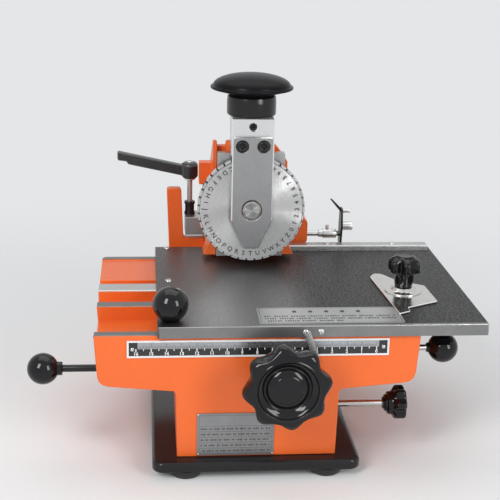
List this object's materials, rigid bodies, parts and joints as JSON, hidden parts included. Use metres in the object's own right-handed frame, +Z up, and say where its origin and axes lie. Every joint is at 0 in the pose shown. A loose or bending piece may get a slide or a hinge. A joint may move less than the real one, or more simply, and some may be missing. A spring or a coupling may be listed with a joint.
{
  "type": "nameplate marking machine",
  "caption": "Bench machine that presses characters into metal nameplates: a type wheel under a palm knob, over a platform moved along a ruler by a handwheel.",
  "frame": {"origin": "on the table, under the middle of the machine's overall box", "axes": "+X to the right as seen from the front, +Y from the handwheel towards the back, +Z up"},
  "size_m": [0.308, 0.27, 0.2529],
  "materials": {
    "orange_paint": "gloss enamel",
    "black_paint": "satin enamel",
    "black_plastic": "moulded gloss",
    "rubber": "matt",
    "bright_steel": "fine turned or ground",
    "ground_steel": "brushed",
    "dark_steel": "blackened",
    "brass": "turned",
    "printed_plate": "printed sheet"
  },
  "bodies": {
    "frame": {"base_plate": "black_paint", "foot_front_left": "rubber", "foot_front_right": "rubber", "foot_rear_left": "rubber", "foot_rear_right": "rubber", "body_casting": "orange_paint", "ruler_plate": "dark_steel", "data_plate": "printed_plate", "guide_rail": "bright_steel", "head_casting": "orange_paint", "clamp_bracket": "orange_paint", "clamp_block": "ground_steel", "clamp_nut": "dark_steel", "handwheel_bush": "brass", "spring_plug": "ground_steel", "press_spring": "dark_steel"},
    "press": {"press_slide": "bright_steel", "press_block": "bright_steel", "press_collar": "black_plastic", "press_knob": "black_plastic", "press_stem": "bright_steel", "pointer_plate": "bright_steel", "plate_screw_left": "dark_steel", "plate_screw_right": "dark_steel", "knob_set_screw": "dark_steel", "wheel_axle": "bright_steel", "index_plunger": "dark_steel", "index_spring": "dark_steel"},
    "wheel": {"type_wheel": "bright_steel", "wheel_bush": "brass"},
    "rocker": {"rocker_shaft": "bright_steel", "rocker_arm": "ground_steel", "rocker_collar": "bright_steel", "feed_lever": "dark_steel", "feed_pin": "bright_steel", "feed_roller": "bright_steel"},
    "carriage": {"platform": "ground_steel", "rack": "bright_steel", "guide_shoe_front": "ground_steel", "guide_shoe_rear": "ground_steel", "fence_bar": "dark_steel", "fence_angle": "bright_steel", "ruler_pointer": "bright_steel", "push_ball": "black_plastic", "stop_stud": "ground_steel"},
    "side_stop": {"stop_plate": "bright_steel", "stop_boss": "bright_steel"},
    "stop_grip": {"stop_knob": "black_plastic"},
    "drive": {"handwheel": "black_plastic", "handwheel_shaft": "bright_steel", "pinion": "ground_steel"},
    "spacing": {"spacing_screw": "bright_steel", "spacing_knob": "black_plastic"},
    "left_lever": {"left_lever_rod": "black_paint", "left_lever_ball": "black_plastic"},
    "right_lever": {"right_lever_rod": "bright_steel", "right_lever_ball": "black_plastic"},
    "clamp_handle": {"clamp_lever": "black_paint", "clamp_stud": "bright_steel"}
  },
  "joints": [
    {"name": "carriage_slide", "type": "slide", "parent": "frame", "child": "carriage", "axis": [1, 0, 0], "range_m": [-0.121, 0.038]},
    {"name": "handwheel_turn", "type": "hinge", "parent": "frame", "child": "drive", "pos_m": [0.016, -0.1, 0.07555], "axis": [0, 1, 0], "range_deg": [-400, 128]},
    {"name": "press_stroke", "type": "slide", "parent": "frame", "child": "press", "axis": [0, 0, -1], "range_m": [0, 0.005], "stiffness_N_per_m": 2000, "springref_m": -0.012, "deforming": ["press_spring"]},
    {"name": "type_wheel_turn", "type": "hinge", "parent": "press", "child": "wheel", "pos_m": [0.0042, 0.0259, 0.1537], "axis": [0, 1, 0], "continuous": true},
    {"name": "rocker_turn", "type": "hinge", "parent": "frame", "child": "rocker", "pos_m": [0.0042, 0.085, 0.1165], "axis": [1, 0, 0], "range_deg": [-0.5, 8.1]},
    {"name": "side_stop_swivel", "type": "hinge", "parent": "carriage", "child": "side_stop", "pos_m": [0.1092, -0.037, 0.108], "axis": [0, 0, 1], "range_deg": [-30, 30]},
    {"name": "stop_knob_turn", "type": "hinge", "parent": "side_stop", "child": "stop_grip", "pos_m": [0.1092, -0.037, 0.113], "axis": [0, 0, 1], "range_deg": [-90, 270]},
    {"name": "spacing_knob_turn", "type": "hinge", "parent": "frame", "child": "spacing", "pos_m": [0.095, -0.075, 0.0394], "axis": [1, 0, 0], "range_deg": [-180, 180]},
    {"name": "left_lever_pull", "type": "slide", "parent": "frame", "child": "left_lever", "axis": [1, 0, 0], "range_m": [-0.007, 0], "stiffness_N_per_m": 300, "springref_m": 0.004},
    {"name": "right_lever_pull", "type": "slide", "parent": "frame", "child": "right_lever", "axis": [1, 0, 0], "range_m": [0, 0.007], "stiffness_N_per_m": 300, "springref_m": -0.004},
    {"name": "clamp_lever_turn", "type": "hinge", "parent": "frame", "child": "clamp_handle", "pos_m": [-0.0392, 0.096, 0.16], "axis": [0, 0, 1], "range_deg": [-60, 75]}
  ],
  "couplings": [
    {"joint": "handwheel_turn", "follows": "carriage_slide", "rad_per_m": 57.143},
    {"joint": "rocker_turn", "follows": "press_stroke", "rad_per_m": 26.316}
  ]
}
